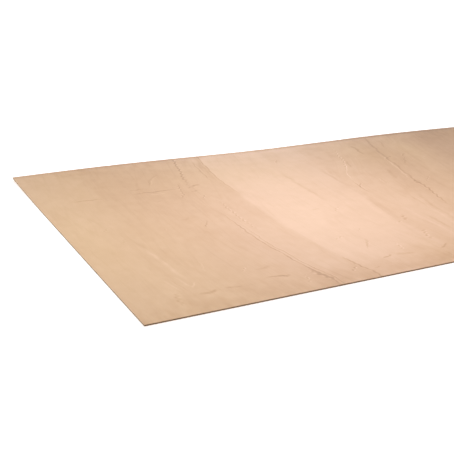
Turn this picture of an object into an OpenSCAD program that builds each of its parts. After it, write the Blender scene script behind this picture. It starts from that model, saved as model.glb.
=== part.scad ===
// Plywood sheet: a thin board of rotary-cut veneer, pressed and sawn as one piece.
// It lies on a flat strip along its middle. Both long edges curl up a little,
// and the back one also rises and falls along its length.
// Origin: centre of the underside. X runs along the sheet, Y across it, Z up.

/* [Sheet] */
// Length of the sheet
sheet_length = 2440; // [1200:10:3660]
// Width of the sheet
sheet_width = 1220; // [600:10:1830]
// Thickness of the sheet
sheet_thickness = 3; // [2:0.1:12]

/* [Warp] */
// Width of the strip along the middle that lies flat on the floor
flat_strip = 240; // [80:10:500]
// Lift of the front long edge off the floor, the same all along
front_lift = 1; // [0:0.1:20]
// Lift of the back long edge where it is lowest
back_trough_lift = 4.4; // [0:0.1:20]
// Lift of the back long edge where it is highest
back_crest_lift = 9.6; // [0:0.1:20]
// Distance along the back edge from one crest to the next
crest_spacing = 1170; // [600:10:2440]
// Distance from the left end of the back edge to its first crest
first_crest = 330; // [0:10:600]

/* [Facets] */
// Facets along the back side, which curves both ways
length_facets = 48; // [12:1:60]
// Facets across each curled side
side_facets = 10; // [4:1:14]

/* [Hidden] */

veneer_color = [0.86, 0.72, 0.59];
half_length = sheet_length / 2;
half_strip = flat_strip / 2;
side_width = sheet_width / 2 - half_strip;
back_mean_lift = (back_crest_lift + back_trough_lift) / 2;
back_wave_height = (back_crest_lift - back_trough_lift) / 2;

// Lift of the back edge at x, a wave about its mean
function back_lift(x) =
    back_mean_lift + back_wave_height * cos(360 * (x + half_length - first_crest) / crest_spacing);

// Underside of a curled side, as distances out from the flat strip and heights.
// The curl grows as a square, so it leaves the floor with no kink.
function curl(edge_lift) = [
    for (j = [0 : side_facets])
        let (share = j / side_facets)
        [side_width * share, edge_lift * share * share]
];

function reversed(list) = [for (k = [len(list) - 1 : -1 : 0]) list[k]];

// Closed section of a curled side: out along the underside and back along the top
function side_section(edge_lift) = concat(
    curl(edge_lift),
    reversed([for (point = curl(edge_lift)) point + [0, sheet_thickness]])
);

// Solid through a row of sections that all have as many points, capped at both ends
module loft(sections) {
    count = len(sections[0]);
    last = (len(sections) - 1) * count;
    first_cap = [for (k = [0 : count - 1]) k];
    last_cap = [for (k = [count - 1 : -1 : 0]) last + k];
    walls = [
        for (i = [0 : len(sections) - 2], k = [0 : count - 1])
            let (a = i * count + k, b = i * count + (k + 1) % count)
            each [[a, a + count, b], [b, a + count, b + count]]
    ];
    polyhedron(
        points = [for (section = sections, point = section) point],
        faces = concat([first_cap, last_cap], walls)
    );
}

module flat_middle() {
    translate([-half_length, -half_strip, 0])
        cube([sheet_length, flat_strip, sheet_thickness]);
}

// The lift doesn't change along the front side, so one section is extruded along it
module front_side() {
    translate([-half_length, -half_strip, 0])
        rotate([90, 0, 90])
            linear_extrude(sheet_length)
                mirror([1, 0])
                    polygon(side_section(front_lift));
}

module back_side() {
    translate([0, half_strip, 0])
        loft([
            for (i = [0 : length_facets])
                let (x = sheet_length * i / length_facets - half_length)
                [for (point = side_section(back_lift(x))) [x, point[0], point[1]]]
        ]);
}

module plywood_sheet() {
    color(veneer_color)
        union() {
            flat_middle();
            front_side();
            back_side();
        }
}

plywood_sheet();
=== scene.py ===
from collections import namedtuple
from math import pi, radians

import bpy
import numpy as np
from mathutils import Matrix, Vector


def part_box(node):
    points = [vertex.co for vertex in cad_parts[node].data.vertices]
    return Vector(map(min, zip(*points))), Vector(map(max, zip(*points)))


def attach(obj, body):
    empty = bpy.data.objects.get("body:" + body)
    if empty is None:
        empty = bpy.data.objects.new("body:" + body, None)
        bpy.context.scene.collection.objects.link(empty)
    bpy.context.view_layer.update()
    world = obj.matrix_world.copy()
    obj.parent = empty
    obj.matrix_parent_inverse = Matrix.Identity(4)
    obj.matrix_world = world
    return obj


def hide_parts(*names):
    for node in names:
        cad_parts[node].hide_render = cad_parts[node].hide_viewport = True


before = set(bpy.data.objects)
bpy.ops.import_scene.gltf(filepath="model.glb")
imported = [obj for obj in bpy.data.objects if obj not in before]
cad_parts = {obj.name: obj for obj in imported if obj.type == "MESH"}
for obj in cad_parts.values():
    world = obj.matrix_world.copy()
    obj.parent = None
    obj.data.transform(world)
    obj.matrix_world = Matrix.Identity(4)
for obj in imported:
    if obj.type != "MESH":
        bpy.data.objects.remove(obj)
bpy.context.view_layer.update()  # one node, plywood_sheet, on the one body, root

frontLeft, backRight = (np.array(corner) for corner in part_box("plywood_sheet"))

# Metres, but for the notes beside. On the board, x runs from its left end and y from its
# front edge.
board = {
    "length": float(backRight[0] - frontLeft[0]),
    "width": float(backRight[1] - frontLeft[1]),
    "thickness": 0.003,
    "faceVeneer": 0.0006,
    "glueLine": 0.00014,
    # how it lies: flat on its middle strip, both long edges curled up, the back one in a wave
    "flatStrip": 0.24,
    "frontLift": 0.001,
    "backTrough": 0.0044,
    "backCrest": 0.0096,
    "crestSpacing": 1.17,
    "firstCrest": 0.33,
    # spacing of the surface grid: across the grain, along it, on veins, chips and beside edges
    "columnStep": 0.0075,
    "rowStep": 0.024,
    "veinStep": 0.0022,
    "veinReach": 0.012,
    "chipStep": 0.0011,
    "rimStep": 0.0012,
    "rimReach": 0.007,
    "guideRounding": 0.06,
    # surface: slow swells as waves for each metre along and across, with a start, and how long
    # the two waves are that sway a vein
    "swell": 0.00012,
    "swellWaves": [(31, 4, 0.0), (17, -9, 1.3), (52, 7, 0.6)],
    "swayWaves": (0.13, 0.057),
    # sawn edges: how far each layer stands back, and how the saw wandered
    "arris": 0.00018,
    "faceBack": 0.00002,
    "glueBack": 0.00010,
    "coreBack": 0.00015,
    "coreMiddleBack": 0.00008,
    "sharpAngle": 40,          # degrees
    "sawWander": 0.00022,
    "sawPitch": 0.006,
    "cornerWear": 0.0012,
    "handledReach": 0.10,
    "stainReach": 0.014,
    "stain": 1.1,              # how dark it is at the right end
    "stainLeft": 0.3,          # and at the left end, as a share of that
    "stainGrey": 1.2,          # how much it greys for how dark it is
    "chips": 9,                # a count, for each long edge
    "chipClear": 0.02,
    "chipWidth": (0.0025, 0.007),
    "chipDepth": (0.0008, 0.0034),
    "chipLip": 0.0008,
    "chipGrid": 1.15,          # how far the close columns go on past a chip, in half widths
    "seed": 7,                 # of all chance
}

# Grain lines that steer all the others, each through a few points (x, y) from front to back.
# Between two of them the grain is shared out evenly.
grainGuides = {
    "leftEnd": [(0, 0), (0, 1.22)],
    "ridge": [(0.470, 0), (0.452, 0.15), (0.441, 0.32), (0.450, 0.48), (0.462, 0.66), (0.485, 0.90),
              (0.520, 1.03), (0.566, 1.22)],
    "paleEdge": [(0.578, 0), (0.565, 0.15), (0.560, 0.38), (0.580, 0.65), (0.600, 0.82), (0.616, 0.97),
                 (0.642, 1.12), (0.668, 1.22)],
    "shadow": [(0.765, 0), (0.770, 0.30), (0.785, 0.50), (0.810, 0.75), (0.830, 0.90), (0.900, 1.22)],
    "flame": [(0.845, 0), (0.855, 0.20), (0.875, 0.35), (0.905, 0.47), (0.932, 0.58), (0.948, 0.70),
              (0.968, 0.85), (1.060, 1.22)],
    "crack": [(0.905, 0), (0.915, 0.20), (0.940, 0.42), (0.966, 0.63), (1.000, 0.76), (1.050, 0.84),
              (1.082, 0.89), (1.112, 0.95), (1.157, 1.07), (1.220, 1.22)],
    "river": [(1.045, 0), (1.058, 0.20), (1.105, 0.42), (1.140, 0.50), (1.176, 0.62), (1.200, 0.70),
              (1.235, 0.78), (1.265, 0.88), (1.286, 0.93), (1.330, 1.07), (1.398, 1.22)],
    "outer": [(1.760, 0), (1.790, 0.35), (1.860, 0.75), (1.990, 1.22)],
    "rightEnd": [(2.44, 0), (2.44, 1.22)],
}

# Veins of the face veneer: the guide each keeps beside, how far to its right in mm, from y to y,
# half width in mm, how much it darkens, how much painted shade it puts on its left and painted
# highlight on its right, length of its beads in m (0 for none), sway in mm, and its height in mm.
veinRecord = namedtuple("vein", "guide offset start end halfWidth darken leftDark beads sway height")
veins = {
    "ridgeFront": ("ridge", 0, -0.12, 0.68, 4.5, 0.22, 0.90, 0, 0, 0.3),
    "ridgeTwin": ("ridge", 11, -0.30, 0.52, 4.0, 0.10, 0.80, 0, 0, 0.0),
    "ridgeStitch": ("ridge", 0, 0.84, 1.50, 6.5, 0.30, 1.30, 0.032, 2, 0.3),
    "ridgeBeads": ("ridge", 32, 0.38, 0.74, 5.0, 0.08, 0.95, 0.026, 2, 0.0),
    "paleLine": ("paleEdge", -2, 0.70, 1.45, 5.5, 0.20, 0.80, 0, 0, 0.2),
    "paleShade": ("paleEdge", -15, 0.72, 1.60, 14.0, 0.09, 0.05, 0, 0, 0.0),
    "paleTwin": ("paleEdge", -36, 0.88, 1.20, 5.0, 0.12, 0.55, 0, 0, 0.0),
    "paleFoot": ("paleEdge", 0, -0.10, 0.18, 5.0, 0.34, 0.70, 0.022, 1, 0.2),
    "shadowLine": ("shadow", 0, 0.52, 0.96, 11.0, 0.14, 0.10, 0, 2, 0.0),
    "flameBand": ("flame", 6, 0.22, 0.62, 20.0, 0.08, 0.15, 0, 0, 0.0),
    "flamePale": ("flame", -26, 0.22, 0.60, 13.0, -0.07, 0.0, 0, 0, 0.0),
    "flameTail": ("flame", 0, 0.66, 0.94, 11.0, 0.06, 0.25, 0, 2, 0.0),
    "crackTop": ("crack", 0, 0.80, 1.13, 6.0, -0.04, 1.50, 0.028, 3, 0.2),
    "crackPale": ("crack", 0, 0.70, 0.95, 5.0, -0.20, 0.60, 0, 0, 0.2),
    "crackFoot": ("crack", 0, 0.58, 0.72, 5.0, 0.24, 1.00, 0, 0, 0.0),
    "crackHem": ("crack", 14, 0.02, 0.46, 12.0, -0.10, 0.10, 0, 0, 0.0),
    "riverSide": ("river", -52, 0.10, 0.56, 10.0, 0.10, 0.15, 0, 0, 0.0),
    "riverHem": ("river", -74, 0.14, 0.50, 9.0, -0.12, 0.0, 0, 0, 0.0),
    "riverLine": ("river", 0, 0.46, 1.60, 7.5, 0.22, 0.35, 0, 4, 0.2),
    "riverPale": ("river", -10, 0.60, 1.00, 5.0, -0.24, 0.0, 0, 4, 0.0),
    "riverFoot": ("river", 0, 0.34, 0.72, 6.0, 0.32, 1.10, 0.034, 4, 0.2),
    "outerLine": ("outer", -140, 0.15, 0.95, 6.0, 0.28, 0.40, 0, 4, 0.2),
    "outerBand": ("outer", -60, -0.40, 1.00, 16.0, 0.14, 0.10, 0, 0, 0.0),
    "outerStitch": ("outer", 0, 0.55, 1.50, 6.0, 0.26, 0.90, 0.036, 3, 0.3),
    "outerPale": ("outer", 150, 0.10, 1.10, 14.0, -0.14, 0.10, 0, 3, 0.0),
    "outerFaint": ("outer", 290, -0.30, 0.80, 6.0, 0.22, 0.30, 0, 3, 0.0),
}
veins = {name: veinRecord(*sizes) for name, sizes in veins.items()}

# Marks that cross the grain or stand alone: from x y to x y, bow and half width in mm,
# darkening, painted shade on the left side with painted highlight on the right, length of beads in m.
marks = [
    (0.465, 0.935, 0.410, 0.750, 0, 4.5, 0.20, 1.20, 0.026),
    (0.362, 0.915, 0.445, 1.065, -6, 8.0, 0.02, 0.45, 0),
    (0.095, 0.874, 0.200, 0.871, 1, 5.0, 0.30, 0.20, 0.030),
    (0.285, 0.874, 0.440, 0.868, -3, 5.5, 0.42, 0.25, 0.042),
    (0.335, 0.846, 0.392, 0.845, 0, 4.0, -0.22, 0.20, 0),
    (0.296, 0.906, 0.345, 0.926, 0, 8.0, 0.12, 0.45, 0.020),
    (0.325, 0.770, 0.352, 0.780, 0, 6.0, 0.08, 0.20, 0),
    (0.362, 0.492, 0.392, 0.552, 0, 4.5, 0.28, 0.60, 0.024),
    (0.325, 0.575, 0.360, 0.596, 0, 7.0, 0.14, 0.0, 0),
    (0.250, 0.505, 0.264, 0.542, 0, 4.0, -0.05, 0.60, 0.012),
    (0.472, 0.738, 0.497, 0.780, 0, 6.0, 0.10, 1.20, 0.020),
    (0.465, 0.862, 0.530, 0.892, 0, 10.0, 0.26, 0.80, 0.024),
    (0.155, 0.420, 0.170, 0.160, 0, 9.0, -0.16, 0.0, 0),
    (0.102, 0.050, 0.120, 0.130, 0, 7.0, 0.10, 0.55, 0.018),
    (0.130, 0.200, 0.148, 0.110, 0, 4.0, 0.04, 0.35, 0),
    (0.158, 0.132, 0.180, 0.160, 0, 4.0, -0.20, 0.30, 0),
    (0.158, 0.092, 0.210, 0.096, 0, 11.0, 0.32, 0.0, 0),
    (0.225, 0.097, 0.265, 0.093, 0, 8.0, 0.18, 0.0, 0),
    (0.332, 0.103, 0.398, 0.099, -4, 6.5, 0.34, 0.60, 0.022),
    (0.302, 0.160, 0.330, 0.195, 0, 5.0, -0.05, 1.00, 0.014),
    (0.225, 0.195, 0.245, 0.300, 0, 4.0, -0.10, 0.30, 0.022),
    (0.402, 0.038, 0.428, 0.088, 0, 5.5, 0.00, 1.00, 0.018),
    (0.448, 0.110, 0.466, 0.030, 0, 10.0, 0.34, 1.20, 0.018),
    (0.530, 0.050, 0.566, 0.090, 0, 7.0, 0.05, 1.00, 0.018),
    (0.590, 0.045, 0.612, 0.052, 0, 5.0, 0.20, 0.30, 0),
    (0.622, 0.252, 0.658, 0.276, 0, 6.5, 0.08, 1.00, 0.018),
    (0.648, 0.088, 0.682, 0.108, 0, 5.0, 0.38, 0.40, 0),
    (0.662, 0.160, 0.694, 0.240, 0, 6.0, 0.16, 0.10, 0),
    (0.690, 0.098, 0.745, 0.096, 0, 9.0, 0.18, 0.0, 0),
    (0.728, 0.120, 0.748, 0.165, 0, 6.0, -0.05, 0.90, 0.016),
    (0.752, 0.452, 0.790, 0.500, 0, 7.0, 0.08, 0.90, 0.018),
    (0.700, 0.498, 0.728, 0.504, 0, 8.0, 0.14, 0.0, 0),
    (0.878, 0.305, 0.914, 0.355, 0, 8.0, 0.18, 0.70, 0.020),
    (0.842, 0.145, 0.880, 0.240, 0, 9.0, 0.05, 0.90, 0.020),
    (0.818, 0.084, 0.866, 0.110, 0, 5.5, 0.30, 0.40, 0),
    (0.968, 0.330, 0.948, 0.190, 0, 9.0, 0.18, 0.20, 0),
    (1.052, 0.500, 1.012, 0.330, 3, 8.0, 0.14, 0.20, 0),
    (0.908, 1.068, 0.874, 1.004, 0, 6.0, 0.10, 1.00, 0.020),
    (1.120, 0.945, 1.082, 0.855, 0, 7.0, 0.18, 0.30, 0.018),
    (1.092, 0.710, 1.066, 0.630, 0, 6.0, 0.05, 0.35, 0),
    (1.186, 0.800, 1.128, 0.660, 0, 11.0, 0.14, 0.0, 0),
    (1.312, 0.950, 1.252, 0.888, 0, 9.0, 0.05, 1.20, 0.020),
    (1.182, 0.596, 1.262, 0.655, 0, 6.0, 0.00, 0.90, 0.022),
    (1.263, 1.125, 1.232, 0.985, 0, 8.0, 0.34, 0.0, 0),
    (1.410, 1.150, 1.360, 1.040, 0, 6.0, 0.18, 0.15, 0),
    (1.374, 0.948, 1.340, 0.908, 0, 4.5, 0.20, 0.90, 0),
    (1.348, 0.910, 1.284, 0.812, 0, 5.0, 0.14, 0.40, 0),
    (1.432, 0.888, 1.380, 0.834, 0, 5.0, -0.06, 0.40, 0.022),
    (1.560, 0.430, 1.600, 0.640, 4, 5.0, 0.22, 0.30, 0),
    (1.905, 0.250, 1.960, 0.560, 5, 6.0, 0.20, 0.40, 0.030),
    (2.180, 0.880, 2.215, 1.020, 0, 6.0, 0.18, 0.30, 0),
    (0.462, 0.822, 0.502, 0.836, 0, 7.0, 0.14, 0.50, 0.020),
    (0.104, 0.572, 0.122, 0.612, 0, 6.0, 0.06, 0.60, 0.014),
    (0.127, 0.465, 0.134, 0.502, 0, 4.5, 0.08, 0.55, 0.012),
    (0.840, 0.300, 0.876, 0.312, 0, 5.5, 0.06, 0.70, 0.016),
    (0.712, 0.282, 0.738, 0.304, 0, 5.5, 0.06, 0.70, 0.016),
    (0.960, 0.628, 1.000, 0.685, 0, 5.0, 0.16, 0.80, 0),
    (1.160, 0.590, 1.182, 0.636, 0, 9.0, 0.20, 1.10, 0.018),
    (0.645, 0.150, 0.700, 0.235, 4, 5.0, 0.05, 0.40, 0),
    (0.148, 0.215, 0.163, 0.130, 0, 5.0, -0.14, 0.20, 0),
    (0.118, 0.215, 0.133, 0.120, 0, 5.0, -0.10, 0.20, 0),
    (0.335, 0.166, 0.385, 0.172, 3, 9.0, 0.14, 0.10, 0),
]

# Broad colour across the grain: place on the front edge, lightness (0 dark, 1 pale), yellowness.
toneBands = [
    (0.00, 0.88, 0.55),
    (0.10, 0.76, 0.60),
    (0.20, 0.63, 0.50),
    (0.30, 0.57, 0.35),
    (0.455, 0.52, 0.15),
    (0.475, 0.56, 0.10),
    (0.568, 0.56, 0.05),
    (0.578, 0.72, 0.00),
    (0.66, 0.78, 0.00),
    (0.76, 0.74, 0.00),
    (0.84, 0.72, 0.00),
    (0.86, 0.62, 0.05),
    (0.95, 0.60, 0.10),
    (1.035, 0.45, 0.10),
    (1.06, 0.50, 0.15),
    (1.20, 0.50, 0.25),
    (1.35, 0.34, 0.10),
    (1.52, 0.46, 0.10),
    (1.60, 0.60, 0.30),
    (1.78, 0.50, 0.20),
    (1.96, 0.66, 0.10),
    (2.16, 0.56, 0.40),
    (2.30, 0.68, 0.40),
    (2.44, 0.60, 0.50),
]

# Soft patches over the bands, part wood tone and part painted light: they lighten the middle as a
# painted pool of light and darken the back and the far right as painted shade where that light falls
# off, and the strip along the front edge is grime and painted shade of the curled edge together.
# Each: centre x y, reach x y, lightness, yellowness.
paintedLightAndTonePatches = [
    (0.38, 1.02, 0.22, 0.30, -0.14, -0.10),
    (1.22, 0.98, 0.16, 0.22, -0.14, 0.00),
    (1.45, 1.00, 0.08, 0.14, 0.08, 0.20),
    (1.78, 1.16, 0.22, 0.16, -0.26, 0.10),
    (0.83, 1.02, 0.18, 0.16, -0.10, 0.05),
    (1.40, 0.74, 0.12, 0.12, 0.08, 0.00),
    (0.66, 0.38, 0.20, 0.28, 0.08, -0.10),
    (1.22, 0.00, 2.60, 0.08, -0.20, 0.00),
    (1.00, 0.28, 0.09, 0.22, 0.16, 0.00),
    (0.05, 0.65, 0.10, 0.30, 0.10, 0.00),
    (0.50, 0.28, 0.14, 0.26, 0.06, -0.20),
    (0.02, 0.50, 0.08, 0.40, -0.06, 0.20),
    (1.15, 0.46, 0.12, 0.14, 0.12, 0.00),
    (0.55, 1.00, 0.30, 0.22, 0.02, 0.35),
    (1.27, 1.00, 0.14, 0.20, 0.00, 0.35),
    (0.78, 0.08, 0.10, 0.10, -0.08, 0.15),
    (1.80, 0.30, 0.30, 0.35, 0.06, 0.00),
    (2.10, 0.90, 0.25, 0.25, -0.08, 0.00),
]


# 0 at 0 and below, 1 at 1 and above, and an S between
def smooth(t):
    t = np.clip(t, 0.0, 1.0)
    return t * t * (3.0 - 2.0 * t)


# Knots of chance every pitch along s, joined by S curves: a wandering line from 0 to 1
def wander(s, pitch, seed):
    knots = np.random.default_rng(seed).random(int(np.max(s) / pitch) + 3)
    before = np.floor(s / pitch).astype(int)
    return knots[before] + (knots[before + 1] - knots[before]) * smooth(s / pitch - before)


# Places along a side, closer where density (places for each metre) is higher:
# the running sum of the density is cut into equal shares
def spread(length, densityAt):
    fine = np.linspace(0.0, length, 12001)
    density = densityAt(fine)
    running = np.concatenate([[0.0], np.cumsum((density[1:] + density[:-1]) / 2 * np.diff(fine))])
    shares = np.linspace(0.0, running[-1], int(running[-1]) + 2)
    return np.interp(shares, running, fine)


# Grid spacing beside both ends of a side: bell-shaped in the distance from the end
def besideRim(s, length):
    return np.exp(-(np.minimum(s, length - s) / board["rimReach"]) ** 2) / board["rimStep"]


# Height of the underside: the curl grows as the square of the way out from the flat strip,
# up to the front lift, or up to the wave of the back edge
def liftAt(x, y):
    fromMiddle = y - board["width"] / 2
    side = (board["width"] - board["flatStrip"]) / 2
    out = np.clip((np.abs(fromMiddle) - board["flatStrip"] / 2) / side, 0.0, 1.0)
    wave = np.cos(2 * pi * (x - board["firstCrest"]) / board["crestSpacing"])
    mean = (board["backCrest"] + board["backTrough"]) / 2
    back = mean + (board["backCrest"] - board["backTrough"]) / 2 * wave
    return np.where(fromMiddle < 0, board["frontLift"], back) * out ** 2


# x of a guide at y: straight lines between its points, rounded off by averaging
# 13 places around y
def guideX(name, y):
    points = np.array(grainGuides[name], dtype=float)
    shifts = np.linspace(-board["guideRounding"], board["guideRounding"], 13)
    around = np.clip(y[..., None] + shifts, 0.0, board["width"])
    return np.interp(around, points[:, 1], points[:, 0]).mean(axis=-1)


# x of the grain line that starts at u on the front edge: it keeps its share of the way
# between the two guides on either side
def grainX(u, y):
    rails = np.stack([guideX(name, y) for name in grainGuides])
    starts = np.array([guideX(name, np.zeros(1))[0] for name in grainGuides])
    before = np.clip(np.searchsorted(starts, u, side="right") - 1, 0, len(starts) - 2)
    share = (u - starts[before]) / (starts[before + 1] - starts[before])
    left = np.take_along_axis(rails, before[None], axis=0)[0]
    right = np.take_along_axis(rails, before[None] + 1, axis=0)[0]
    return left + (right - left) * share


# A vein in its own measure: how far a place lies across it in half widths, how strong it is
# there (it fades out over a third of its length at both ends), and how far along that is.
# Its line is the guide's, swayed by a long wave and a short one of 0.6 its height.
def veinPlace(vein, x, y):
    longWave, shortWave = board["swayWaves"]
    waves = np.sin(2 * pi * y / longWave + vein.offset) + 0.6 * np.sin(2 * pi * y / shortWave)
    sway = vein.sway * waves / (1.6 * 1000)
    across = (x - guideX(vein.guide, y) - vein.offset / 1000 - sway) / (vein.halfWidth / 1000)
    fade = (vein.end - vein.start) / 3
    strength = smooth((y - vein.start) / fade) * smooth((vein.end - y) / fade)
    return across, strength, y


# Relief of the face: each vein is a rounded ridge, a bell across it, over slow swells,
# the mean of three crossed waves
def reliefAt(x, y):
    relief = np.zeros_like(x)
    for vein in veins.values():
        if vein.height:
            across, strength, _ = veinPlace(vein, x, y)
            relief += vein.height / 1000 * strength * np.exp(-across ** 2)
    waves = board["swellWaves"]
    swells = sum(np.sin(along * x + across * y + start) for along, across, start in waves)
    return relief + board["swell"] * swells / len(waves)


# Chips torn from the face veneer where a long edge cuts its grain: place, half width and depth
def chipList(seed):
    rng = np.random.default_rng(seed)
    narrow, wide = board["chipWidth"]
    shallow, deep = board["chipDepth"]
    clear = board["chipClear"]
    places = np.sort(rng.random(board["chips"])) * (board["length"] - 2 * clear) + clear
    widths = narrow + (wide - narrow) * rng.random(board["chips"]) ** 2
    depths = shallow + (deep - shallow) * rng.random(board["chips"]) ** 2
    return places, widths, depths


# Depth of the chips at s along the edge: each is a rounded tooth, half an ellipse
def chipDepth(s, chips):
    places, widths, depths = chips
    teeth = 1 - ((s[:, None] - places) / widths) ** 2
    return (depths * np.sqrt(np.clip(teeth, 0, 1))).max(axis=1)


# How much each place was handled: a bell from either long edge inwards
def handledAt(y):
    return sum(np.exp(-(away / board["handledReach"]) ** 2) for away in (y, board["width"] - y))


# The back edge is stained in a narrow strip, more towards the right end
def stainAt(x, y):
    strip = np.exp(-((board["width"] - y) / board["stainReach"]) ** 2)
    left = board["stainLeft"]
    return board["stain"] * strip * (left + (1 - left) * smooth(x / board["length"]))


# One column of the bands, read across the grain
def band(u, column):
    stops = np.array(toneBands)
    return np.interp(u, stops[:, 0], stops[:, column])


# Four-cornered faces of a grid of point numbers, facing up where x grows along a row
def gridQuads(numbers):
    corners = (numbers[:-1, :-1], numbers[:-1, 1:], numbers[1:, 1:], numbers[1:, :-1])
    return np.stack(corners, axis=-1).reshape(-1, 4)


# A smooth mesh with sharp arrises, from points and quads, with a material slot for each quad
# and three numbers for each point in every attribute
def meshFrom(name, points, quads, slots, attributes):
    mesh = bpy.data.meshes.new(name)
    mesh.from_pydata(points.tolist(), [], quads.tolist())
    mesh.polygons.foreach_set("material_index", slots.astype(np.int32))
    mesh.polygons.foreach_set("use_smooth", np.ones(len(quads), dtype=bool))
    for label, values in attributes.items():
        layer = mesh.attributes.new(label, "FLOAT_VECTOR", "POINT")
        layer.data.foreach_set("vector", values.astype(np.float32).ravel())
    mesh.update()
    mesh.set_sharp_from_angle(angle=radians(board["sharpAngle"]))
    made = bpy.data.objects.new(name, mesh)
    bpy.context.scene.collection.objects.link(made)
    return made


# Columns follow the grain, rows the long edges, both closer beside the sawn edges;
# columns also bunch up, in flat-topped bells, on the veins that stand proud and at the chips
def surfaceGrid(chips):
    proud = [vein for vein in veins.values() if vein.height]
    ridges = sorted({guideX(vein.guide, np.zeros(1))[0] + vein.offset / 1000 for vein in proud})

    def columnDensity(s):
        density = np.full_like(s, 1 / board["columnStep"])
        for ridge in ridges:
            onVein = np.exp(-((s - ridge) / board["veinReach"]) ** 4)
            density = np.maximum(density, onVein / board["veinStep"])
        for places, widths, _ in chips:
            for place, width in zip(places, widths):
                onChip = np.exp(-((s - place) / width / board["chipGrid"]) ** 8)
                density = np.maximum(density, onChip / board["chipStep"])
        return np.maximum(density, besideRim(s, board["length"]))

    def rowDensity(s):
        return np.maximum(1 / board["rowStep"], besideRim(s, board["width"]))

    u, y = np.meshgrid(spread(board["length"], columnDensity), spread(board["width"], rowDensity))
    return u, y, grainX(u, y)


# Lightness and yellowness of the wood, with the painted light and shade of the patches in them: the
# bands across the grain and the soft patches, each a bell in x and y
def toneAndPaintedLight(u, x, y):
    lightness, yellow = band(u, 1), band(u, 2)
    for middleX, middleY, reachX, reachY, light, hue in paintedLightAndTonePatches:
        bell = np.exp(-((x - middleX) / reachX) ** 2 - ((y - middleY) / reachY) ** 2)
        lightness, yellow = lightness + light * bell, yellow + hue * bell
    stain = stainAt(x, y)
    return lightness - stain, yellow - board["stainGrey"] * stain


# The sawn edge from the bottom up: height, how far it stands back, and its share of the saw's
# wander. The face veneers were cut clean, the core between them is torn and stands back.
def edgeLevels():
    face, half, top = board["faceVeneer"], board["glueLine"] / 2, board["thickness"]
    core = top - 2 * face
    return [
        (board["arris"], 0.0, 0.3),
        (face - half, board["faceBack"], 0.4),
        (face + half, board["glueBack"], 1.0),
        (face + core * 0.30, board["coreBack"], 1.0),
        (face + core * 0.52, board["coreMiddleBack"], 1.0),
        (face + core * 0.76, board["coreBack"], 1.0),
        (top - face - half, board["glueBack"], 1.0),
        (top - face + half, board["faceBack"], 0.4),
        (top - board["arris"], 0.0, 0.3),
    ]


# The whole board: the top face and the underside on one grid, a thickness apart, and the
# sawn edge carried round the rim of that grid through all its levels
def buildBoard():
    chips = chipList(board["seed"]), chipList(board["seed"] + 1)
    u, y, x = surfaceGrid(chips)
    rowCount, columnCount = u.shape
    lift = liftAt(x, y)
    frontChip, backChip = (chipDepth(u[0], group) for group in chips)
    inFront = smooth((frontChip - y) / board["chipLip"] + 0.5) * (frontChip > 0)
    inBack = smooth((backChip - board["width"] + y) / board["chipLip"] + 0.5) * (backChip > 0)
    chipped = np.maximum(inFront, inBack)
    topZ = lift + board["thickness"] + reliefAt(x, y) - board["faceVeneer"] * chipped

    # the way out at each point: 0 inside the board, -1 or 1 on its edges
    outX, outY = np.zeros_like(x), np.zeros_like(x)
    outX[:, 0], outX[:, -1], outY[0], outY[-1] = -1, 1, -1, 1

    # the rim as grid numbers: along the front, up the right end, along the back, down the left
    grid = np.arange(rowCount * columnCount).reshape(rowCount, columnCount)
    ring = np.concatenate([grid[0, :-1], grid[:-1, -1], grid[-1, :0:-1], grid[:0:-1, 0]])
    ringX, ringY, ringOutX, ringOutY, ringLift, ringTop = (
        values.ravel()[ring] for values in (x, y, outX, outY, lift, topZ))
    steps = np.hypot(np.diff(ringX, prepend=ringX[0]), np.diff(ringY, prepend=ringY[0]))
    around = np.cumsum(steps)
    worn = board["cornerWear"] * np.abs(ringOutX * ringOutY)

    topX, topY = x - outX * board["arris"], y - outY * board["arris"]
    faces = []
    for z in (topZ, lift):
        points = np.stack([topX, topY, z], axis=-1).reshape(-1, 3)
        points[ring, 0] -= ringOutX * worn
        points[ring, 1] -= ringOutY * worn
        faces.append(points)
    sides = []
    levels = edgeLevels()
    for number, (height, back, share) in enumerate(levels):
        saw = wander(around, board["sawPitch"], board["seed"] + 20 + number)
        back = back + share * board["sawWander"] * saw + worn
        z = np.minimum(ringLift + height, ringTop - board["arris"] * (1 - height / board["thickness"]))
        sides.append(np.stack([ringX - ringOutX * back, ringY - ringOutY * back, z], axis=1))
    points = np.concatenate(faces + sides) + frontLeft

    topCount, ringCount = x.size, len(ring)
    sideGrid = 2 * topCount + np.arange(len(levels) * ringCount).reshape(len(levels), ringCount)
    wall = np.concatenate([[ring + topCount], sideGrid, [ring]])
    wall = np.concatenate([wall, wall[:, :1]], axis=1)  # closed all the way round
    quads = [gridQuads(grid), gridQuads(grid + topCount)[:, ::-1], gridQuads(wall)]
    slots = np.repeat([0, 1, 2], [len(group) for group in quads])

    # What the materials read is laid out as the points are: top, underside, then the edge levels
    def laidOut(*parts):
        top = np.stack([np.broadcast_to(part, x.shape) for part in parts], axis=-1).reshape(-1, 3)
        return np.concatenate([top, top, np.tile(top[ring], (len(levels), 1))])

    # lightness and yellow: the wood's tone with the painted pool of light and painted shade of the
    # patches
    lightness, yellow = toneAndPaintedLight(u, x, y)
    attributes = {
        "grain": laidOut(u, y, handledAt(y)),
        "tone": laidOut(lightness, yellow, chipped),
    }
    # 1 on a long edge, and the share of the height, which is 1 on top and 0 underneath
    shares = [np.full(ringCount, height / board["thickness"]) for height, _, _ in levels]
    whichEdge = laidOut(np.abs(outY), 0.0, 0.0)
    whichEdge[:, 2] = np.concatenate([np.ones(topCount), np.zeros(topCount)] + shares)
    attributes["edge"] = whichEdge
    for name, vein in veins.items():
        attributes[name] = laidOut(*veinPlace(vein, x, y))
    triangles = 2 * sum(len(group) for group in quads)
    print("board:", columnCount, "columns,", rowCount, "rows,", triangles, "triangles")
    return meshFrom("plywoodBoard", points, np.concatenate(quads), slots, attributes)


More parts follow.
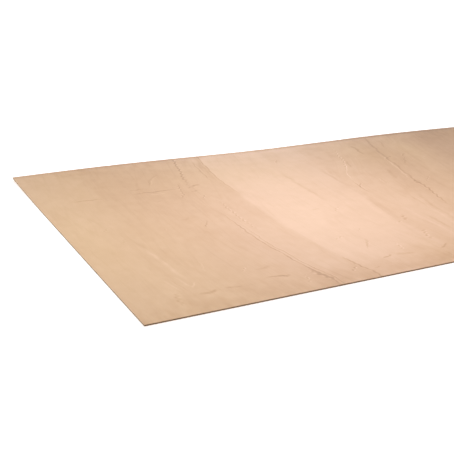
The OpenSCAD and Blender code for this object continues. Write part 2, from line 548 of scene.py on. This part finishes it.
# One node with its settings, each input either a value or another node's output
def addNode(tree, kind, inputs=None, **settings):
    made = tree.nodes.new("ShaderNode" + kind)
    for name, value in settings.items():
        setattr(made, name, value)
    for slot, value in (inputs or {}).items():
        if isinstance(value, bpy.types.NodeSocket):
            tree.links.new(value, made.inputs[slot])
        else:
            made.inputs[slot].default_value = value
    return made


# One sum on values or outputs
def calc(tree, operation, *values):
    return addNode(tree, "Math", dict(enumerate(values)), operation=operation).outputs[0]


# An attribute of the piece, whole and as its three numbers
def readVector(tree, name):
    vector = addNode(tree, "Attribute", attribute_name=name).outputs["Vector"]
    return vector, addNode(tree, "SeparateXYZ", {0: vector}).outputs


# Soft noise with so many features for each metre across the grain and along it,
# centred on 0 and depth from dark to light. The offset picks another part of the noise.
def grainNoise(tree, grain, across, along, depth, offset, detail=3.0):
    place = addNode(tree, "Mapping", {
        "Vector": grain,
        "Scale": (across, along, 0),
        "Location": (offset, offset, 0),
    }).outputs[0]
    noise = addNode(tree, "TexNoise", {
        "Vector": place,
        "Scale": 1.0,
        "Detail": detail,
        "Roughness": 0.55,
    }).outputs["Fac"]
    return calc(tree, "MULTIPLY_ADD", noise, depth, -depth / 2)


# Each noise: features for each metre across the grain and along it, and its depth
figure = {
    "strength": 1.0,
    "broken": (60, 28, 2.2),     # thins and thickens the lines
    "bend": (20, 16, 0.022),     # pushes them aside, metres
    "bendAlong": -1.6,           # and along the grain, as a share of that
    "beadSwing": 0.9,
    "beadLean": 0.35,
}


# Shade of one line: a mask, the square of one minus the across squared, times a steady
# darkening and a painted side shading that changes sign across the line: painted shade on its
# left and a painted highlight on its right. Beads flip that sign along the line, so the painted
# shade and highlight swap from bead to bead.
def lineShade(tree, across, fade, along, darken, leftDark, beads):
    squared = calc(tree, "MULTIPLY_ADD", across, across, fade)
    mask = addNode(tree, "MapRange", {"Value": squared, "From Min": 1.0, "From Max": 0.0}).outputs[0]
    mask = calc(tree, "MULTIPLY", mask, mask)
    # painted shade on the left side of the line and painted highlight on its right
    lean = calc(tree, "MULTIPLY", across, -leftDark)
    if beads:
        phase = calc(tree, "MULTIPLY", along, 2 * pi / beads)
        swing = calc(tree, "SINE", phase)
        swing = calc(tree, "MULTIPLY_ADD", swing, figure["beadSwing"], figure["beadLean"])
        lean = calc(tree, "MULTIPLY", lean, swing)
    return calc(tree, "MULTIPLY", mask, calc(tree, "ADD", lean, darken))


# All veins and marks together: how much they darken the wood, with painted shade and painted
# highlight on their sides. Noise along the grain breaks them up, so that none is an even line.
# Each is added as it is made, because Cycles keeps only so many values at once and paints the
# board black past that.
def figureShade(tree, grain):
    total = 0.0
    bend = grainNoise(tree, grain, *figure["bend"], 1.7, 3.0)
    for name, vein in veins.items():
        _, (across, strength, along) = readVector(tree, name)
        across = calc(tree, "MULTIPLY_ADD", bend, 1000 / vein.halfWidth, across)
        shade = lineShade(tree, across, 0.0, along, vein.darken, vein.leftDark, vein.beads)
        total = calc(tree, "MULTIPLY_ADD", shade, strength, total)
    alongBend = calc(tree, "MULTIPLY", bend, figure["bendAlong"])
    sideways = addNode(tree, "CombineXYZ", {0: bend, 1: alongBend}).outputs[0]
    place = addNode(tree, "TexCoord").outputs["Object"]
    place = addNode(tree, "VectorMath", {0: place, 1: sideways}, operation="ADD").outputs[0]
    for x1, y1, x2, y2, bow, width, darken, leftDark, beads in marks:
        half = np.hypot(x2 - x1, y2 - y1) / 2
        mapped = addNode(tree, "Mapping", {
            "Vector": place,
            "Location": ((x1 + x2) / 2 + frontLeft[0], (y1 + y2) / 2 + frontLeft[1], 0),
            "Rotation": (0, 0, np.arctan2(x1 - x2, y2 - y1)),
            "Scale": (width / 1000, half, 1),
        }, vector_type="TEXTURE")
        across, along = addNode(tree, "SeparateXYZ", {0: mapped.outputs[0]}).outputs[:2]
        squared = calc(tree, "MULTIPLY", along, along)
        if bow:
            straight = calc(tree, "SUBTRACT", across, bow / width)
            across = calc(tree, "MULTIPLY_ADD", squared, bow / width, straight)
        fade = calc(tree, "MULTIPLY", squared, squared)
        shade = lineShade(tree, across, fade, along, darken, leftDark, beads / half)
        total = calc(tree, "ADD", total, shade)
    broken = grainNoise(tree, grain, *figure["broken"], 5.3, 2.0)
    return calc(tree, "MULTIPLY", total, calc(tree, "ADD", broken, figure["strength"]))


# Each noise: features for each metre across the grain and along it, and its depth
veneer = {
    # wood from dark to pale, linear red, green and blue
    "shades": [(0.36, 0.190, 0.088), (0.435, 0.242, 0.124), (0.50, 0.296, 0.172), (0.562, 0.352, 0.228),
               (0.625, 0.412, 0.286)],
    "yellowTint": (1.02, 1.03, 0.78),
    "bare": (0.47, 0.27, 0.13),
    "roughness": (0.46, 0.60),
    "roughLevels": (-0.10, 0.10),  # of ribbon and fibre together, from smooth to rough
    "gloss": 0.3,
    "bands": (7, 0.8, 0.16),
    "bandsYellow": 1.5,
    "clouds": (12, 8, 0.20),
    "mottle": (40, 24, 0.20),
    "smudges": 1.3,                # how much more mottle where it was handled
    "ribbon": (46, 2.4, 0.10),
    "fibre": (420, 9, 0.15),
    "pores": (900, 55, 1.0),
    "poreLevels": (0.16, 0.30),
    "poreDark": 0.12,
    # growth lines: features across and along, and half the width of a line
    "growthLines": [(9, 0.9, 0.020), (26, 1.7, 0.035)],
    "growthPatches": (12, 6, 2.0),
    "growthEven": 0.7,
    "growthDark": 0.07,
    # relief: how deep the grain is in metres, what pores and fibre add to it, and its strength
    "grainDepth": 0.00012,
    "poreRelief": -0.5,
    "fibreRelief": 4.0,
    "bump": 0.5,
}


# A new material, its node tree and its shader
def surface(name):
    material = bpy.data.materials.new(name)
    material.use_nodes = True
    tree = material.node_tree
    return material, tree, tree.nodes["Principled BSDF"]


# Evenly spaced shades, blended straight from one to the next
def shadeRamp(tree, amount, shades):
    ramp = addNode(tree, "ValToRGB", {0: amount})
    stops = ramp.color_ramp.elements
    for number, shade in enumerate(shades):
        place = number / (len(shades) - 1)
        stop = stops[number] if number < 2 else stops.new(place)
        stop.position, stop.color = place, (*shade, 1)
    return ramp.outputs["Color"]


# Two colours, each plain or another node's output, mixed by a factor
def mixColour(tree, factor, first, second, blend="MIX"):
    inputs = {"Factor": factor}
    for slot, colour in ((6, first), (7, second)):
        inputs[slot] = colour if isinstance(colour, bpy.types.NodeSocket) else (*colour, 1)
    return addNode(tree, "Mix", inputs, data_type="RGBA", blend_type=blend).outputs[2]


# Growth lines: thin dark lines where a soft noise, drawn out along the grain, passes its middle
def growthLines(tree, grain, offset):
    total = None
    for across, along, width in veneer["growthLines"]:
        level = calc(tree, "ABSOLUTE", grainNoise(tree, grain, across, along, 1.0, offset + across, 2.0))
        line = addNode(tree, "MapRange", {"Value": level, "From Min": width, "From Max": 0.0}).outputs[0]
        total = line if total is None else calc(tree, "ADD", total, line)
    patchy = grainNoise(tree, grain, *veneer["growthPatches"], offset + 8.8, 2.0)
    return calc(tree, "MULTIPLY", total, calc(tree, "ADD", patchy, veneer["growthEven"]))


# Rotary-cut face veneer: broad tone with painted light and shade in it, soft bands, mottle, ribbon
# and fibre along the grain, growth lines and short dark pores, and on the good face the veins and marks
def veneerMaterial(name, offset, figured):
    material, tree, shader = surface(name)
    grain, (_, _, handled) = readVector(tree, "grain")
    # its lightness carries painted light and painted shade along with the wood's tone
    _, (lightness, yellow, bare) = readVector(tree, "tone")
    bands = grainNoise(tree, grain, *veneer["bands"], offset)
    clouds = grainNoise(tree, grain, *veneer["clouds"], offset + 2.2, 2.0)
    mottle = grainNoise(tree, grain, *veneer["mottle"], offset + 4.6, 3.0)
    smudges = calc(tree, "MULTIPLY_ADD", handled, veneer["smudges"], 1.0)
    mottle = calc(tree, "MULTIPLY", calc(tree, "ADD", clouds, mottle), smudges)
    ribbon = grainNoise(tree, grain, *veneer["ribbon"], offset + 3.1)
    fibre = grainNoise(tree, grain, *veneer["fibre"], offset + 7.7)
    pores = addNode(tree, "MapRange", {
        "Value": grainNoise(tree, grain, *veneer["pores"], offset + 9.4, 1.0),
        "From Min": veneer["poreLevels"][0],
        "From Max": veneer["poreLevels"][1],
    }).outputs[0]
    light = calc(tree, "ADD", calc(tree, "ADD", bands, mottle), calc(tree, "ADD", ribbon, fibre))
    light = calc(tree, "ADD", light, lightness)
    light = calc(tree, "MULTIPLY_ADD", growthLines(tree, grain, offset), -veneer["growthDark"], light)
    light = calc(tree, "MULTIPLY_ADD", pores, -veneer["poreDark"], light)
    if figured:
        light = calc(tree, "SUBTRACT", light, figureShade(tree, grain))
    wood = shadeRamp(tree, light, veneer["shades"])
    yellow = calc(tree, "MULTIPLY_ADD", bands, veneer["bandsYellow"], yellow)
    wood = mixColour(tree, yellow, wood, veneer["yellowTint"], "MULTIPLY")
    wood = mixColour(tree, bare, wood, veneer["bare"])
    tree.links.new(wood, shader.inputs["Base Color"])
    rough = addNode(tree, "MapRange", {
        "Value": calc(tree, "ADD", fibre, ribbon),
        "From Min": veneer["roughLevels"][0],
        "From Max": veneer["roughLevels"][1],
        "To Min": veneer["roughness"][0],
        "To Max": veneer["roughness"][1],
    }).outputs[0]
    tree.links.new(rough, shader.inputs["Roughness"])
    relief = calc(tree, "MULTIPLY", fibre, veneer["fibreRelief"])
    relief = calc(tree, "MULTIPLY_ADD", pores, veneer["poreRelief"], relief)
    bump = addNode(tree, "Bump", {
        "Strength": veneer["bump"],
        "Distance": veneer["grainDepth"],
        "Height": relief,
    })
    tree.links.new(bump.outputs[0], shader.inputs["Normal"])
    shader.inputs["Specular IOR Level"].default_value = veneer["gloss"]
    return material


edge = {
    # linear red, green and blue of each layer, cut across its grain and along it
    "endGrainFace": (0.200, 0.118, 0.064),
    "sideGrainFace": (0.560, 0.400, 0.265),
    "endGrainCore": (0.280, 0.185, 0.115),
    "sideGrainCore": (0.165, 0.098, 0.052),
    "glue": (0.050, 0.030, 0.018),
    "plyBlend": 0.02,             # how softly one ply turns into the next, of the thickness
    "glueBlend": (0.045, 0.015),  # how far the glue stains, and how far it is full
    "roughness": 0.85,
    "gloss": 0.2,
    # unevenness, features for each metre: streaks in x, y and z, blotches, and the darkest it is
    "streaks": 0.5,
    "streakNoise": (900, 900, 260),
    "blotches": 0.8,
    "blotchNoise": 34.0,
    "darkest": 0.35,
    "tornDepth": 0.0002,          # metres
    "bump": 0.6,
}


# The sawn edge: the plies by height, end grain or side grain by the edge they are on,
# made uneven by fine streaks from the saw and by blotches
def edgeMaterial():
    material, tree, shader = surface("sawnEdge")
    _, (longEdge, _, height) = readVector(tree, "edge")
    place = addNode(tree, "TexCoord").outputs["Object"]
    side = mixColour(tree, longEdge, edge["sideGrainFace"], edge["endGrainFace"])
    core = mixColour(tree, longEdge, edge["endGrainCore"], edge["sideGrainCore"])
    share = board["faceVeneer"] / board["thickness"]
    fromMiddle = calc(tree, "ABSOLUTE", calc(tree, "SUBTRACT", height, 0.5))
    inFace = addNode(tree, "MapRange", {
        "Value": fromMiddle,
        "From Min": 0.5 - edge["plyBlend"] - share,
        "From Max": 0.5 + edge["plyBlend"] - share,
    })
    plies = mixColour(tree, inFace.outputs[0], core, side)
    fromGlue = calc(tree, "ABSOLUTE", calc(tree, "SUBTRACT", fromMiddle, 0.5 - share))
    glue = addNode(tree, "MapRange", {
        "Value": fromGlue,
        "From Min": edge["glueBlend"][0],
        "From Max": edge["glueBlend"][1],
    })
    plies = mixColour(tree, glue.outputs[0], plies, edge["glue"])
    drawnOut = addNode(tree, "Mapping", {"Vector": place, "Scale": edge["streakNoise"]}).outputs[0]
    streaks = addNode(tree, "TexNoise", {"Vector": drawnOut, "Scale": 1.0, "Detail": 3.0}).outputs["Fac"]
    blotches = addNode(tree, "TexNoise", {
        "Vector": place,
        "Scale": edge["blotchNoise"],
        "Detail": 3.0,
    }).outputs["Fac"]
    uneven = calc(tree, "MULTIPLY_ADD", blotches, edge["blotches"], edge["darkest"])
    uneven = calc(tree, "MULTIPLY_ADD", streaks, edge["streaks"], uneven)
    shaded = addNode(tree, "VectorMath", {0: plies, "Scale": uneven}, operation="SCALE").outputs[0]
    tree.links.new(shaded, shader.inputs["Base Color"])
    bump = addNode(tree, "Bump", {
        "Strength": edge["bump"],
        "Distance": edge["tornDepth"],
        "Height": streaks,
    })
    tree.links.new(bump.outputs[0], shader.inputs["Normal"])
    shader.inputs["Roughness"].default_value = edge["roughness"]
    shader.inputs["Specular IOR Level"].default_value = edge["gloss"]
    return material


plywood = buildBoard()
plywood.data.materials.append(veneerMaterial("faceVeneer", 0.0, True))
plywood.data.materials.append(veneerMaterial("backVeneer", 31.0, False))
plywood.data.materials.append(edgeMaterial())
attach(plywood, "root")
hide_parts("plywood_sheet")
print("board done")

stage = {
    "floorHalf": 40.0,
    "floorColour": (0.92, 0.92, 0.92),
    "floorDrop": 0.0002,
    "floorGlow": 0.5,          # a lit white sweep, so that it stays white behind the board
    "sky": 0.6,
    # kind, where it stands, what it points at, size in metres (a sun: spread in degrees), power
    "lamps": {
        "window": ("SUN", (1.0, 1.6, 2.1), (0, 0, 0), 50, 1.0),
        "softbox": ("AREA", (-0.50, -0.10, 1.0), (-0.50, -0.10, 0), 0.6, 7),
        "farStrip": ("SUN", (0.42, 0.80, 0.42), (0, 0, 0), 16, 0.25),
    },
    "camera": (-1.703, -1.958, 0.689),
    "lookDown": 18.68,
    "lookRight": 26.246,
    "lens": 63.08,
}


# The floor, a plain white sky, the lamps and the camera
def buildStage():
    half = stage["floorHalf"]
    mesh = bpy.data.meshes.new("studioFloor")
    corners = [(-half, -half, 0), (half, -half, 0), (half, half, 0), (-half, half, 0)]
    mesh.from_pydata(corners, [], [(0, 1, 2, 3)])
    mesh.transform(Matrix.Translation((0, 0, -stage["floorDrop"])))
    floor = bpy.data.objects.new("studioFloor", mesh)
    bpy.context.scene.collection.objects.link(floor)
    material, _, shader = surface("paleFloor")
    shader.inputs["Base Color"].default_value = (*stage["floorColour"], 1)
    shader.inputs["Roughness"].default_value = 0.9
    shader.inputs["Emission Color"].default_value = (1, 1, 1, 1)
    shader.inputs["Emission Strength"].default_value = stage["floorGlow"]
    mesh.materials.append(material)

    world = bpy.data.worlds.new("studio")
    world.use_nodes = True
    tree, sky = world.node_tree, world.node_tree.nodes["Background"]
    sky.inputs["Color"].default_value = (1, 1, 1, 1)
    seen = addNode(tree, "LightPath").outputs["Is Camera Ray"]
    strength = calc(tree, "MULTIPLY_ADD", seen, 1 - stage["sky"], stage["sky"])
    tree.links.new(strength, sky.inputs["Strength"])  # the backdrop itself looks white
    bpy.context.scene.world = world

    for name, (kind, place, target, size, power) in stage["lamps"].items():
        light = bpy.data.lights.new(name, kind)
        light.energy = power
        if kind == "SUN":
            light.angle = radians(size)
        else:
            light.shape, light.size = "DISK", size
        lamp = bpy.data.objects.new(name, light)
        lamp.location = place
        lamp.rotation_euler = (Vector(target) - Vector(place)).to_track_quat("-Z", "Y").to_euler()
        lamp.visible_camera = False
        bpy.context.scene.collection.objects.link(lamp)

    lens = bpy.data.cameras.new("camera")
    lens.lens, lens.sensor_width, lens.clip_start, lens.clip_end = stage["lens"], 36.0, 0.05, 200.0
    camera = bpy.data.objects.new("camera", lens)
    camera.location = stage["camera"]
    camera.rotation_euler = (radians(90 - stage["lookDown"]), 0, radians(-stage["lookRight"]))
    bpy.context.scene.collection.objects.link(camera)
    bpy.context.scene.camera = camera
    bpy.context.scene.view_settings.view_transform = "Standard"


buildStage()
print("stage done")
